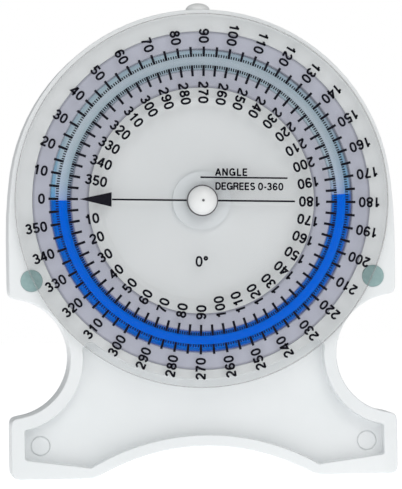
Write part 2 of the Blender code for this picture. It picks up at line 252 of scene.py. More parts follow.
def housing_outline(inset=0.0, corner=3.0):
    """Clockwise outline: round head, straight flanks, finger notches, soles and foot arch."""
    flank = HALF_WIDTH - inset
    sole = SOLE_Z + inset
    notch = NOTCH_R + inset
    right = arc(0.0, 0.0, HEAD_R - inset, 90.0, 6.0, 70)
    start = Vector(right[-1])
    bend = start + Vector((0.62, -5.9))
    end = Vector((flank, -6.0))
    for k in range(1, 9):
        t = k / 8
        p = start * (1 - t) ** 2 + bend * 2 * t * (1 - t) + end * t ** 2
        right.append((min(p.x, flank), p.y))
    mouth = math.degrees(math.acos((flank - NOTCH_X) / notch))
    right += arc(NOTCH_X, NOTCH_Z, notch, mouth, 360.0 - mouth, 60)
    right += [(flank, NOTCH_Z - notch - 3.0), (flank, sole + 4.0), (flank, sole), (flank - 4.0, sole)]
    spread = math.degrees(math.acos((sole - ARCH_TOP + ARCH_R) / (ARCH_R + inset)))
    right += arc(0.0, ARCH_TOP - ARCH_R, ARCH_R + inset, 90.0 - spread, 90.0, 30)
    return softened(both_sides(right), corner)


def bearing(start, end):
    return math.degrees(math.atan2(end[1] - start[1], end[0] - start[0]))


def web_outline(inset=0.0):
    """The sunken web between the legs: arcs that run tangent into rounded corners."""
    axis, notch, arch = (0.0, 0.0), (NOTCH_X, NOTCH_Z), (0.0, ARCH_TOP - ARCH_R)
    peak, flank, heel, toe = WEB_CORNERS
    sole = bearing(heel, toe) + math.degrees(math.acos((heel[2] - toe[2]) / math.dist(heel[:2], toe[:2])))
    right = arc(*axis, LAND_R + inset, -90.0, bearing(axis, peak), 26)
    right += arc(*peak[:2], peak[2] - inset, bearing(peak, axis), bearing(peak, notch), 12)[1:-1]
    right += arc(*notch, NOTCH_R + NOTCH_RIM + inset, bearing(notch, peak), 360.0 + bearing(notch, flank), 30)
    right += arc(*flank[:2], flank[2] - inset, bearing(flank, notch), 0.0, 8)[1:]
    right += arc(*heel[:2], heel[2] - inset, 0.0, sole, 8)
    right += arc(*toe[:2], toe[2] - inset, sole, bearing(toe, arch), 8)
    right += arc(*arch, ARCH_R + ARCH_RIM + inset, bearing(arch, toe), 90.0, 18)[1:]
    left = [(-x, z) for x, z in reversed(right[1:-1])]
    return right + left


# ----------------------------------------------------------------------------- materials

class Look:
    """A node material with short helpers for its procedural parts."""

    def __init__(self, name, **sockets):
        self.material = bpy.data.materials.new(name)
        self.material.use_nodes = True
        self.tree = self.material.node_tree
        self.shader = self.tree.nodes["Principled BSDF"]
        for socket, value in sockets.items():
            self.set(socket.replace("_", " "), value)

    def set(self, socket, value):
        if isinstance(value, tuple):
            value = (*value, 1.0)
        self.shader.inputs[socket].default_value = value

    def node(self, kind, **settings):
        made = self.tree.nodes.new(kind)
        for key, value in settings.items():
            setattr(made, key, value)
        return made

    def link(self, source, target):
        self.tree.links.new(source, target)

    def feed(self, source, socket):
        self.link(source, self.shader.inputs[socket])

    def place(self):
        return self.node("ShaderNodeTexCoord").outputs["Object"]

    def noise(self, scale, detail=3.0, source=None):
        made = self.node("ShaderNodeTexNoise")
        made.inputs["Scale"].default_value = scale
        made.inputs["Detail"].default_value = detail
        self.link(source or self.place(), made.inputs["Vector"])
        return made.outputs["Fac"]

    def ramp(self, source, stops, interpolation="LINEAR"):
        made = self.node("ShaderNodeValToRGB")
        made.color_ramp.interpolation = interpolation
        points = made.color_ramp.elements
        while len(points) < len(stops):
            points.new(0.5)
        for point, (position, colour) in zip(points, stops):
            point.position = position
            point.color = (*colour, 1.0)
        self.link(source, made.inputs["Fac"])
        return made.outputs["Color"]

    def spread(self, source, low, high):
        """Map a 0..1 value onto low..high."""
        made = self.node("ShaderNodeMapRange")
        made.inputs["To Min"].default_value = low
        made.inputs["To Max"].default_value = high
        self.link(source, made.inputs["Value"])
        return made.outputs["Result"]

    def radius(self, low_mm, high_mm):
        """Distance from the dial axis, 0 at low_mm and 1 at high_mm."""
        parts = self.node("ShaderNodeSeparateXYZ")
        self.link(self.place(), parts.inputs["Vector"])
        flat = self.node("ShaderNodeCombineXYZ")
        self.link(parts.outputs["X"], flat.inputs["X"])
        shift = self.node("ShaderNodeMath", operation="SUBTRACT")
        shift.inputs[1].default_value = DIAL_Z * MM
        self.link(parts.outputs["Z"], shift.inputs[0])
        self.link(shift.outputs["Value"], flat.inputs["Y"])
        reach = self.node("ShaderNodeVectorMath", operation="LENGTH")
        self.link(flat.outputs["Vector"], reach.inputs[0])
        made = self.node("ShaderNodeMapRange")
        made.inputs["From Min"].default_value = low_mm * MM
        made.inputs["From Max"].default_value = high_mm * MM
        self.link(reach.outputs["Value"], made.inputs["Value"])
        return made.outputs["Result"]

    def bump(self, source, depth_mm, strength=1.0):
        made = self.node("ShaderNodeBump")
        made.inputs["Strength"].default_value = strength
        made.inputs["Distance"].default_value = depth_mm * MM
        self.link(source, made.inputs["Height"])
        self.link(made.outputs["Normal"], self.shader.inputs["Normal"])


def white_plastic(name, light, shade, roughness=0.42, grain=0.012):
    """Moulded white plastic: cloudy tone, fine orange-peel surface, uneven gloss."""
    look = Look(name, Specular_IOR_Level=0.45)
    tone = look.ramp(look.noise(38.0, 4.0), [(0.35, shade), (0.65, light)])
    look.feed(tone, "Base Color")
    look.feed(look.spread(look.noise(160.0, 3.0), roughness - 0.07, roughness + 0.1), "Roughness")
    look.bump(look.noise(1400.0, 2.0), grain, 0.5)
    return look.material


def clear_disc():
    """Clear acrylic disc with a painted grey band along its turned edge, which stands in for the light the
    edge catches and bends.
    """
    look = Look("dial_clear_painted_edge", Specular_IOR_Level=0.5)
    edge = look.radius(DIAL_R - 0.8, DIAL_R)
    # painted light: the grey, more opaque band near the rim stands in for the light caught and bent by the
    # turned edge
    painted_edge_tint = [(0.66, (0.02, 0.03, 0.04)), (0.78, (0.36, 0.36, 0.36))]
    cover = [(0.66, (0.06, 0.06, 0.06)), (0.8, (0.5, 0.5, 0.5))]
    look.feed(look.ramp(edge, painted_edge_tint), "Base Color")
    look.feed(look.ramp(edge, cover), "Alpha")
    look.feed(look.spread(look.noise(420.0, 5.0), 0.04, 0.11), "Roughness")
    return look.material


def metal(name, colour, roughness=0.28):
    look = Look(name, Metallic=1.0)
    stretched = look.node("ShaderNodeMapping")
    stretched.inputs["Scale"].default_value = (1.0, 14.0, 1.0)
    look.link(look.place(), stretched.inputs["Vector"])
    grain = look.noise(700.0, 4.0, stretched.outputs["Vector"])
    darker = tuple(c * 0.82 for c in colour)
    look.feed(look.ramp(grain, [(0.3, darker), (0.7, colour)]), "Base Color")
    look.feed(look.spread(grain, roughness - 0.06, roughness + 0.1), "Roughness")
    return look.material


def rubber(name, light, dark, roughness=0.7, scale=900.0):
    look = Look(name, Specular_IOR_Level=0.3, Roughness=roughness)
    look.feed(look.ramp(look.noise(scale, 4.0), [(0.3, dark), (0.7, light)]), "Base Color")
    look.bump(look.noise(scale * 2, 3.0), 0.02, 0.6)
    return look.material


def ink():
    look = Look("scale_ink", Roughness=0.6, Specular_IOR_Level=0.08)
    black = [(0.3, (0.004, 0.004, 0.008)), (0.75, (0.011, 0.010, 0.016))]
    look.feed(look.ramp(look.noise(2600.0, 3.0), black), "Base Color")
    return look.material


def frosted_ring():
    """Ring front: frosted grey-violet flanges on each side of a clear window over the tube, with painted
    shade darkening the flanges at the ring's inner and outer edges.
    """
    look = Look("ring_frosted_and_clear", Specular_IOR_Level=0.5)
    # the darker grey-violet at the inner and outer edges is painted shade, where the groove walls shade the
    # ring
    painted_edge_shade, lavender = (0.42, 0.43, 0.50), (0.62, 0.635, 0.735)
    clear = (0.02, 0.02, 0.03)
    place = look.radius(RING_IN, RING_OUT)
    stops = [(0.0, painted_edge_shade), (0.03, lavender), (0.29, lavender), (0.32, clear),
             (0.675, clear), (0.705, lavender), (0.97, lavender), (1.0, painted_edge_shade)]
    look.feed(look.ramp(place, stops), "Base Color")
    veil = [(0.0, (0.86, 0.86, 0.86)), (0.275, (0.86, 0.86, 0.86)), (0.33, (0.02, 0.02, 0.02)),
            (0.665, (0.02, 0.02, 0.02)), (0.72, (0.86, 0.86, 0.86)), (1.0, (0.86, 0.86, 0.86))]
    look.feed(look.ramp(place, veil), "Alpha")
    look.feed(look.spread(look.noise(420.0, 5.0), 0.1, 0.22), "Roughness")
    return look.material


def backing():
    """The grey-violet ground behind the ring, with painted light where the tube lies: a painted highlight
    along the middle of the tube, painted cyan refraction strips at its sides, and an emission glow that
    stands in for light reaching the tube floor.
    """
    look = Look("ring_backing_painted_tube_light", Roughness=0.6, Specular_IOR_Level=0.25)
    lavender = (0.40, 0.40, 0.47)
    # painted highlight along the middle of the tube and painted cyan refraction strips at its sides, on the
    # plain lavender ground
    stops = [(0.0, lavender), (0.29, (0.50, 0.60, 0.68)), (0.36, (0.52, 0.64, 0.70)),
             (0.44, (0.64, 0.71, 0.77)), (0.50, (0.68, 0.74, 0.80)), (0.57, (0.62, 0.69, 0.75)),
             (0.65, (0.50, 0.62, 0.70)), (0.70, (0.50, 0.57, 0.66)), (0.80, lavender), (1.0, lavender)]
    # emission glow over the tube: painted light for the light that reaches the tube floor through the clear
    # window
    glow = [(0.0, (0.0, 0.0, 0.0)), (0.28, (0.02, 0.02, 0.02)), (0.31, (0.12, 0.135, 0.15)),
            (0.38, (0.13, 0.17, 0.18)),
            (0.50, (0.19, 0.22, 0.235)), (0.62, (0.12, 0.165, 0.175)), (0.68, (0.11, 0.135, 0.15)),
            (0.71, (0.02, 0.02, 0.02)), (1.0, (0.0, 0.0, 0.0))]
    look.set("Emission Strength", 1.0)
    look.feed(look.ramp(look.radius(RING_IN, RING_OUT), glow), "Emission Color")
    ground = look.ramp(look.radius(RING_IN, RING_OUT), stops)
    cloud = look.ramp(look.noise(95.0, 4.0), [(0.3, (0.92, 0.93, 0.96)), (0.7, (1.0, 1.0, 1.0))])
    made = look.node("ShaderNodeMix", data_type="RGBA", blend_type="MULTIPLY")
    made.inputs["Factor"].default_value = 1.0
    look.link(ground, made.inputs[6])
    look.link(cloud, made.inputs[7])
    look.feed(made.outputs[2], "Base Color")
    return look.material


def fluid():
    """Dyed blue fluid with a blue emission glow that stands in for light passing through it; its colour is
    painted lighter towards the sides of the tube to offset the shading of its round surface, with a painted
    pale cyan fringe at the edges for the light the tube wall bends.
    """
    # the emission glow here is painted light, not a lamp
    look = Look("indicator_blue_painted_light", Roughness=0.2, Specular_IOR_Level=0.03,
                Emission_Color=(0.0, 0.045, 0.30), Emission_Strength=1.0)
    # painted light: paler and greener towards the tube's sides, pale cyan at the edges
    stops = [(0.0, (0.25, 0.60, 0.85)), (0.09, (0.03, 0.34, 0.80)), (0.22, (0.0, 0.17, 0.78)),
             (0.50, (0.0, 0.125, 0.74)), (0.75, (0.0, 0.18, 0.78)), (0.91, (0.03, 0.34, 0.80)),
             (1.0, (0.25, 0.60, 0.85))]
    deep = look.ramp(look.radius(TUBE_R - FLUID_R, TUBE_R + FLUID_R), stops)
    look.feed(deep, "Base Color")
    return look.material


def dye_film():
    """Painted refraction: a thin blue sheet on the tube wall with an emission glow, fading to grey away from
    the fluid's surface, standing in for light bent along the channel wall above the fluid.
    """
    look = Look("painted_refraction_film_blue", Roughness=0.3, Specular_IOR_Level=0.1,
                Emission_Color=(0.06, 0.15, 0.22), Emission_Strength=1.0)
    parts = look.node("ShaderNodeSeparateXYZ")
    look.link(look.place(), parts.inputs["Vector"])
    height = look.node("ShaderNodeMapRange")
    height.inputs["From Min"].default_value = DIAL_Z * MM
    height.inputs["From Max"].default_value = (DIAL_Z + 15.0) * MM
    look.link(parts.outputs["Z"], height.inputs["Value"])
    stops = [(0.0, (0.22, 0.52, 0.85)), (0.3, (0.32, 0.56, 0.78)), (0.75, (0.42, 0.56, 0.66)),
             (1.0, (0.48, 0.56, 0.62))]
    look.feed(look.ramp(height.outputs["Result"], stops), "Base Color")
    return look.material


WHITE = white_plastic("housing_white", (0.78, 0.80, 0.81), (0.74, 0.765, 0.775))
COVER_WHITE = white_plastic("cover_white", (0.76, 0.78, 0.79), (0.72, 0.745, 0.755), 0.5, 0.03)
KNOB_WHITE = white_plastic("knob_white", (0.79, 0.80, 0.80), (0.75, 0.76, 0.76), 0.3, 0.004)
NYLON = white_plastic("washer_nylon", (0.80, 0.83, 0.85), (0.76, 0.80, 0.82), 0.35, 0.006)
DIAL_CLEAR = clear_disc()
RING_FROSTED = frosted_ring()
INK = ink()
BACKING = backing()
FLUID = fluid()
FILM = dye_film()
STEEL = metal("bright_steel", (0.62, 0.63, 0.65))
DARK_STEEL = metal("pin_steel", (0.16, 0.16, 0.17), 0.4)
PAD = rubber("pad_grey_green", (0.30, 0.43, 0.43), (0.25, 0.37, 0.37))
# the knob washer's near-black grey is painted shade: a modelled washer whose dark colour stands in for the
# shadow line in the gap round the knob's base
KNOB_WASHER_PAINTED_SHADE = rubber("knob_washer_painted_shade", (0.16, 0.16, 0.17), (0.11, 0.11, 0.12))
SEAL = rubber("seal_black", (0.05, 0.05, 0.055), (0.025, 0.025, 0.03))


def coat(piece, material):
    piece.data.materials.clear()
    piece.data.materials.append(material)


# ----------------------------------------------------------------------------- housing

def quarter(radius, grow, y, steps=5):
    """Levels of a rounded front edge: from radius inside grow at y to grow at y + radius."""
    out = []
    for k in range(steps + 1):
        a = math.pi / 2 * k / steps
        out.append((grow - radius * (1 - math.sin(a)), y + radius * (1 - math.cos(a))))
    return out


def recess_levels(front, depth, lip=0.25, draft=0.1, foot=0.35):
    """Levels of a cutter with a rounded lip, drafted wall and filleted floor."""
    floor = front + depth
    levels = [(lip + 0.6, front - 1.0), (lip + 0.05, front - 0.02)]
    levels += [(lip * 0.3, front + lip * 0.3), (0.0, front + lip)]
    levels += [(-draft, floor - foot), (-draft - foot * 0.29, floor - foot * 0.29), (-draft - foot, floor)]
    return levels


def build_housing():
    outline = housing_outline()
    levels = quarter(0.35, -DRAFT, FACE_Y) + [(0.0, BACK_Y - 0.7), (-0.2, BACK_Y - 0.2), (-0.7, BACK_Y)]
    shell = loft("housing_shell", outline, levels)
    cut(shell, loft("seat", housing_outline(2.7, 1.0), [(0.0, BACK_Y - 2.2), (0.0, BACK_Y + 1.0)]))
    deep = GROOVE_FLOOR + WALL
    cut(shell, loft("hollow", housing_outline(4.2, 1.0), [(0.0, deep), (0.0, BACK_Y + 1.0)]))
    core = [(6.0, FACE_Y + 3.1), (GROOVE_IN - WALL, FACE_Y + 3.1)]
    core += [(GROOVE_IN - WALL, deep + 1.0), (6.0, deep + 1.0)]
    cut(shell, turned("core", core, steps=96))
    bore = [(0.0, FACE_Y - 2.0), (2.1, FACE_Y - 2.0), (2.1, BACK_Y), (0.0, BACK_Y)]
    cut(shell, turned("bore", bore, steps=64))
    web = web_outline()
    cut(shell, loft("leg_core", web_outline(0.5), [(0.0, FACE_Y + WEB_DEPTH + WALL), (0.0, deep + 1.0)]))
    lip = 0.15
    groove = [(GROOVE_IN - lip - 0.5, FACE_Y - 0.6), (GROOVE_OUT + lip + 0.5, FACE_Y - 0.6),
              (GROOVE_OUT + lip * 0.3, FACE_Y + lip * 0.3), (GROOVE_OUT, FACE_Y + lip),
              (GROOVE_OUT, GROOVE_FLOOR), (GROOVE_IN, GROOVE_FLOOR), (GROOVE_IN, FACE_Y + lip),
              (GROOVE_IN - lip * 0.3, FACE_Y + lip * 0.3)]
    cut(shell, turned("groove", groove, steps=180))
    dish = [(0.0, FACE_Y - 1.0), (27.2, FACE_Y - 1.0), (27.0, FACE_Y - 0.05), (26.5, FACE_Y + 0.05),
            (26.0, FACE_Y + 0.25), (25.5, FACE_Y + 0.6), (25.0, FACE_Y + 0.82),
            (24.2, FACE_Y + 0.9), (0.0, FACE_Y + 0.9)]
    cut(shell, turned("dish", dish, steps=120))
    cut(shell, loft("web", web, recess_levels(FACE_Y, WEB_DEPTH)))
    for side in (-1, 1):
        reach = PAD_R + 0.04
        pocket = [(0.0, FACE_Y - 1.0), (reach, FACE_Y - 1.0), (reach, FACE_Y + 2.3), (0.0, FACE_Y + 2.3)]
        cut(shell, turned("pocket", pocket, centre=(side * PAD_X, PAD_Z), steps=48))
        floor = FACE_Y + WEB_DEPTH
        inner = MARK_R - 0.32
        mark = [(inner, floor - 0.5), (MARK_R, floor - 0.5), (MARK_R, floor + 0.35), (inner, floor + 0.35)]
        cut(shell, turned("mark", mark, centre=(side * MARK_X, MARK_Z), steps=48))
    stamp = [(0.0, FACE_Y - 0.5), (STAMP_R, FACE_Y - 0.5), (STAMP_R, FACE_Y + 0.07), (0.0, FACE_Y + 0.07)]
    cut(shell, turned("stamp", stamp, centre=(STAMP_X, STAMP_Z), steps=48))
    shell.data.transform(Matrix.Scale(MM, 4))
    weight = shell.modifiers.new("even shading", "WEIGHTED_NORMAL")
    weight.keep_sharp = True
    weight.weight = 80
    coat(shell, WHITE)
    dress(shell, "housing", 40.0, "housing")


def build_plug():
    """Domed filler plug on the head."""
    seat = HEAD_R - 0.15
    profile = [(0.0, PLUG_TOP)]
    for k in range(1, 13):
        a = math.pi / 2 * k / 12
        profile.append((3.12 * math.sin(a), seat + (PLUG_TOP - seat) * math.cos(a)))
    profile += [(1.5, seat), (1.5, 43.8), (1.1, 43.4), (0.0, 43.4)]
    steps = 48
    verts, rows = [], []
    for radius, z in profile:
        if radius == 0.0:
            rows.append([len(verts)] * steps)
            verts.append((0.0, RING_SPLIT, z))
            continue
        rows.append([len(verts) + i for i in range(steps)])
        for i in range(steps):
            a = TAU * i / steps
            verts.append((radius * math.cos(a), RING_SPLIT + radius * math.sin(a), z))
    plug = put("filler_plug_dome", verts, bridge(rows, steps), "housing",
               node="filler_plug", slot="white_plastic")
    coat(plug, KNOB_WHITE)


# ----------------------------------------------------------------------------- ring and fluid

def half_circle(radius, side, steps=16):
    points = []
    for i in range(steps + 1):
        a = math.pi * i / steps
        points.append((TUBE_R + radius * math.cos(a), RING_SPLIT + side * radius * math.sin(a)))
    return points


def build_ring():
    edge = 0.08
    inner, outer = GROOVE_IN + 0.03, GROOVE_OUT - 0.03
    front = [(inner, RING_FRONT + edge), (inner + edge, RING_FRONT), (outer - edge, RING_FRONT),
             (outer, RING_FRONT + edge), (outer, RING_SPLIT - 0.02)]
    front += [(r, y - 0.02) for r, y in half_circle(CHANNEL_R, -1)]
    front.append((inner, RING_SPLIT - 0.02))
    piece = turned("ring_front_clear", front, "housing", node="ring_front", slot="ring_plastic")
    coat(piece, RING_FROSTED)
    ring_back_y = BACKING_Y - 0.05
    back = [(RING_IN, ring_back_y), (RING_OUT, ring_back_y), (RING_OUT, RING_SPLIT + 0.02)]
    back += [(r, y + 0.02) for r, y in half_circle(CHANNEL_R, 1)]
    back.append((RING_IN, RING_SPLIT + 0.02))
    piece = turned("ring_back_moulding", back, "housing", node="ring_back", slot="backing_grey")
    coat(piece, BACKING)
    ground = [(RING_IN, BACKING_Y), (RING_OUT, BACKING_Y)]
    ground += [(RING_OUT, GROOVE_FLOOR - 0.05), (RING_IN, GROOVE_FLOOR - 0.05)]
    piece = turned("ring_backing_band", ground, "housing", node="ring_backing", slot="backing_grey")
    coat(piece, BACKING)


def build_fluid():
    """The lower half of the ring filled, each end curling up the channel wall in a meniscus."""
    steps, around = 150, 32
    sweep = 180.0 + LEVEL_LEFT + LEVEL_RIGHT
    angles = [math.radians(180.0 - LEVEL_LEFT + sweep * i / steps) for i in range(steps + 1)]
    verts, faces = [], []
    for a in angles:
        for k in range(around):
            b = TAU * k / around
            r = TUBE_R + FLUID_R * math.cos(b)
            y = RING_SPLIT + FLUID_R * math.sin(b)
            verts.append((r * math.cos(a), y, r * math.sin(a)))
    for i in range(steps):
        for k in range(around):
            n = (k + 1) % around
            faces.append([i * around + k, i * around + n, (i + 1) * around + n, (i + 1) * around + k])
    for base, angle in ((0, angles[0]), (steps * around, angles[-1])):
        previous = [base + k for k in range(around)]
        for share, dip in ((0.86, 0.28), (0.6, 0.42), (0.3, 0.48)):
            row = []
            for k in range(around):
                b = TAU * k / around
                r = TUBE_R + FLUID_R * share * math.cos(b)
                row.append(len(verts))
                y = RING_SPLIT + FLUID_R * share * math.sin(b)
                verts.append((r * math.cos(angle), y, r * math.sin(angle) - dip))
            for k in range(around):
                n = (k + 1) % around
                faces.append([previous[k], previous[n], row[n], row[k]])
            previous = row
        faces.append(previous)
    piece = put("indicator_fluid_body", verts, faces, "fluid", 50.0, "indicator_fluid", "blue_fluid")
    coat(piece, FLUID)
    # painted refraction sheets above each end of the fluid
    film("fluid_film_left", 180.0 - LEVEL_LEFT, -24.0)
    film("fluid_film_right", LEVEL_RIGHT, 24.0)


def film(name, start_deg, sweep_deg):
    """Wedge-shaped sheet of painted refraction climbing the outer wall of the tube above one end of the
    fluid.
    """
    steps = 30
    outer = TUBE_R + FLUID_R * 0.97
    verts, faces = [], []
    for i in range(steps + 1):
        share = i / steps
        a = math.radians(start_deg + sweep_deg * share)
        wide = 1.3 * (1.0 - share) ** 0.8 + 0.02
        for radius, y in ((outer, 0.0), (outer, 0.3), (outer - wide, 0.3), (outer - wide, 0.1)):
            verts.append((radius * math.cos(a), RING_SPLIT + y, radius * math.sin(a)))
    for i in range(steps):
        for k in range(4):
            n = (k + 1) % 4
            faces.append([4 * i + k, 4 * i + n, 4 * i + 4 + n, 4 * i + 4 + k])
    faces += [[0, 1, 2, 3], [4 * steps + k for k in (3, 2, 1, 0)]]
    piece = put(name, verts, faces, "fluid", 50.0, slot="blue_fluid")
    coat(piece, FILM)


# ----------------------------------------------------------------------------- dial

def build_dial():
    e = 0.35
    profile = [(2.3, DIAL_FRONT + 0.15), (2.45, DIAL_FRONT), (DIAL_R - e, DIAL_FRONT)]
    profile += [(DIAL_R - e * 0.3, DIAL_FRONT + e * 0.3), (DIAL_R, DIAL_FRONT + e), (DIAL_R, DIAL_BACK - e)]
    profile += [(DIAL_R - e * 0.3, DIAL_BACK - e * 0.3), (DIAL_R - e, DIAL_BACK), (2.3, DIAL_BACK)]
    piece = turned("dial_disc", profile, "dial", steps=240, smooth_deg=30.0,
                   node="dial", slot="clear_plastic")
    coat(piece, DIAL_CLEAR)
    tip = KNOB_TIP
    base = KNOB_BASE
    dome = [(0.33, tip + 0.5), (0.33, tip + 0.1), (0.42, tip)]
    for k in range(1, 15):
        a = math.pi / 2 * k / 14
        dome.append((0.42 + 3.3 * math.sin(a), tip + (base - 0.35 - tip) * (1 - math.cos(a))))
    dome += [(3.7, base - 0.1), (3.6, base), (2.1, base), (2.1, base - 1.6), (0.33, base - 1.6)]
    piece = turned("knob_dome", dome, "dial", steps=96, node="knob", slot="white_plastic")
    coat(piece, KNOB_WHITE)


# ----------------------------------------------------------------------------- print

def bow(cx, cz, rx, rz, start_deg, end_deg, steps=14, power=2.0):
    """Points of an elliptical (or squarer, for power above 2) arc."""
    points = []
    for i in range(steps + 1):
        a = math.radians(start_deg + (end_deg - start_deg) * i / steps)
        c, s = math.cos(a), math.sin(a)
        points.append((cx + rx * math.copysign(abs(c) ** (2 / power), c),
                       cz + rz * math.copysign(abs(s) ** (2 / power), s)))
    return points


def six():
    bowl = bow(0.345, 0.305, 0.238, 0.228, 170, 530, 26)
    tail = [(0.107, 0.33), (0.105, 0.50), (0.125, 0.68), (0.18, 0.82), (0.265, 0.90), (0.36, 0.923)]
    tail += [(0.455, 0.90), (0.53, 0.83), (0.565, 0.745)]
    return [bowl, tail]


def flipped(strokes):
    return [[(0.68 - x, 1.0 - z) for x, z in stroke] for stroke in strokes]


# Each glyph is (advance, strokes) in units of its height.
GLYPHS = {
    "0": (0.76, [bow(0.34, 0.5, 0.245, 0.423, 0, 360, 32, 2.3)]),
    "1": (0.76, [[(0.12, 0.725), (0.24, 0.74), (0.33, 0.80), (0.385, 0.90), (0.395, 0.985)],
                 [(0.405, 0.0), (0.405, 1.0)]]),
    "2": (0.76, [bow(0.34, 0.68, 0.24, 0.243, 172, -28, 18)
                 + [(0.475, 0.46), (0.33, 0.345), (0.19, 0.23), (0.12, 0.12), (0.115, 0.06)],
                 [(0.06, 0.077), (0.605, 0.077)]]),
    "3": (0.76, [bow(0.33, 0.72, 0.21, 0.203, 165, -80, 18) + [(0.26, 0.52)],
                 [(0.26, 0.52)] + bow(0.33, 0.295, 0.25, 0.22, 85, -165, 20)]),
    "4": (0.76, [[(0.475, 0.0), (0.475, 1.0)], [(0.45, 0.955), (0.085, 0.305), (0.65, 0.305)]]),
    "5": (0.76, [[(0.585, 0.923), (0.175, 0.923), (0.118, 0.46)],
                 [(0.118, 0.46)] + bow(0.33, 0.315, 0.25, 0.24, 135, -160, 20)]),
    "6": (0.76, six()),
    "7": (0.76, [[(0.05, 0.923), (0.62, 0.923)],
                 [(0.60, 0.90), (0.46, 0.70), (0.345, 0.45), (0.275, 0.20), (0.25, 0.0)]]),
    "8": (0.76, [bow(0.34, 0.725, 0.195, 0.198, 0, 360, 24), bow(0.34, 0.29, 0.245, 0.213, 0, 360, 26)]),
    "9": (0.76, flipped(six())),
    "A": (0.76, [[(0.04, 0.0), (0.37, 0.97)], [(0.37, 0.97), (0.70, 0.0)], [(0.16, 0.33), (0.58, 0.33)]]),
    "D": (0.80, [[(0.11, 0.0), (0.11, 1.0)],
                 [(0.11, 0.923)] + bow(0.37, 0.5, 0.29, 0.423, 90, -90, 18, 2.2) + [(0.11, 0.077)]]),
    "E": (0.72, [[(0.11, 0.0), (0.11, 1.0)], [(0.11, 0.923), (0.62, 0.923)], [(0.11, 0.51), (0.58, 0.51)],
                 [(0.11, 0.077), (0.64, 0.077)]]),
    "G": (0.86, [bow(0.42, 0.5, 0.33, 0.423, 38, 332, 26, 2.1),
                 [(0.44, 0.45), (0.745, 0.45), (0.745, 0.02)]]),
    "I": (0.32, [[(0.16, 0.0), (0.16, 1.0)]]),
    "L": (0.64, [[(0.11, 1.0), (0.11, 0.077), (0.60, 0.077)]]),
    "N": (0.80, [[(0.11, 0.0), (0.11, 1.0)], [(0.13, 0.95), (0.65, 0.05)], [(0.67, 0.0), (0.67, 1.0)]]),
    "R": (0.79, [[(0.11, 0.0), (0.11, 1.0)],
                 [(0.11, 0.923)] + bow(0.45, 0.715, 0.19, 0.208, 90, -90, 12) + [(0.11, 0.507)],
                 [(0.44, 0.50), (0.585, 0.40), (0.62, 0.18), (0.66, 0.0)]]),
    "S": (0.74, [bow(0.36, 0.72, 0.235, 0.203, 25, 240, 16) + bow(0.36, 0.29, 0.25, 0.213, 70, -155, 18)]),
    "-": (0.42, [[(0.06, 0.38), (0.36, 0.38)]]),
    " ": (0.34, []),
    "°": (0.46, [bow(0.22, 0.80, 0.13, 0.13, 0, 360, 18)]),
}


class Print:
    """Flat printed strokes gathered into one mesh."""

    def __init__(self):
        self.verts = []
        self.faces = []

    def stroke(self, points, width):
        half = width / 2
        closed = len(points) > 3 and math.dist(points[0], points[-1]) < 1e-6
        line = [Vector(p) for p in (points[:-1] if closed else points)]
        count = len(line)
        start = len(self.verts)
        for i, p in enumerate(line):
            before = line[i - 1] if closed or i > 0 else p
            after = line[(i + 1) % count] if closed or i < count - 1 else p
            a = (p - before).normalized() if (p - before).length > 1e-9 else (after - p).normalized()
            b = (after - p).normalized() if (after - p).length > 1e-9 else a
            m = Vector((-(a.y + b.y), a.x + b.x))
            m = m.normalized() if m.length > 1e-9 else Vector((-a.y, a.x))
            reach = half / max(0.45, m.dot(Vector((-a.y, a.x))))
            for side in (1, -1):
                q = p + m * reach * side
                self.verts.append((q.x, INK_Y, q.y))
        for i in range(count if closed else count - 1):
            j = (i + 1) % count
            self.faces.append([start + 2 * i, start + 2 * j, start + 2 * j + 1, start + 2 * i + 1])

    def text(self, words, x, z, height, direction_deg=0.0, weight=0.19, spacing=1.0, pitch=None):
        """Letters from (x, z) along a direction; pitch, in heights, overrides every advance."""
        a = math.radians(direction_deg)
        ux, uz = math.cos(a), math.sin(a)
        pen = 0.0
        for letter in words:
            advance, strokes = GLYPHS[letter]
            for stroke in strokes:
                placed = []
                for gx, gz in stroke:
                    sx, sz = (gx + pen) * height, gz * height
                    placed.append((x + sx * ux - sz * uz, z + sx * uz + sz * ux))
                self.stroke(placed, weight * height)
            pen += (pitch or advance) * spacing
        return pen * height

    def polygon(self, points):
        start = len(self.verts)
        self.verts += [(x, INK_Y, z) for x, z in points]
        self.faces.append([start + i for i in range(len(points))])

    def build(self, name, turn_deg):
        a = math.radians(turn_deg)
        c, s = math.cos(a), math.sin(a)
        verts = [(x * c - z * s, y, x * s + z * c) for x, y, z in self.verts]
        mesh = bpy.data.meshes.new(name)
        mesh.from_pydata([(x * MM, y * MM, (z + DIAL_Z) * MM) for x, y, z in verts], [], self.faces)
        work = bmesh.new()
        work.from_mesh(mesh)
        for face in work.faces:
            face.normal_update()
            if face.normal.y > 0:
                face.normal_flip()
        work.to_mesh(mesh)
        work.free()
        made = bpy.data.objects.new(name, mesh)
        bpy.context.scene.collection.objects.link(made)
        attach(made, "dial")
        coat(made, INK)
        return made


def radial(page, angle_deg, inner, outer, width):
    a = math.radians(angle_deg)
    ux, uz = math.cos(a), math.sin(a)
    page.stroke([(inner * ux, inner * uz), (outer * ux, outer * uz)], width)


def numeral(page, angle_deg, words, radius, outward):
    """A number laid along the radius and read towards the centre."""
    length = (0.76 * len(words) - 0.08) * NUMERAL_H
    start = radius + length if outward else radius
    a = math.radians(angle_deg)
    ux, uz = -math.cos(a), -math.sin(a)
    x = start * math.cos(a) + uz * NUMERAL_H / 2
    z = start * math.sin(a) - ux * NUMERAL_H / 2
    page.text(words, x, z, NUMERAL_H, angle_deg + 180.0, weight=NUMERAL_WEIGHT)


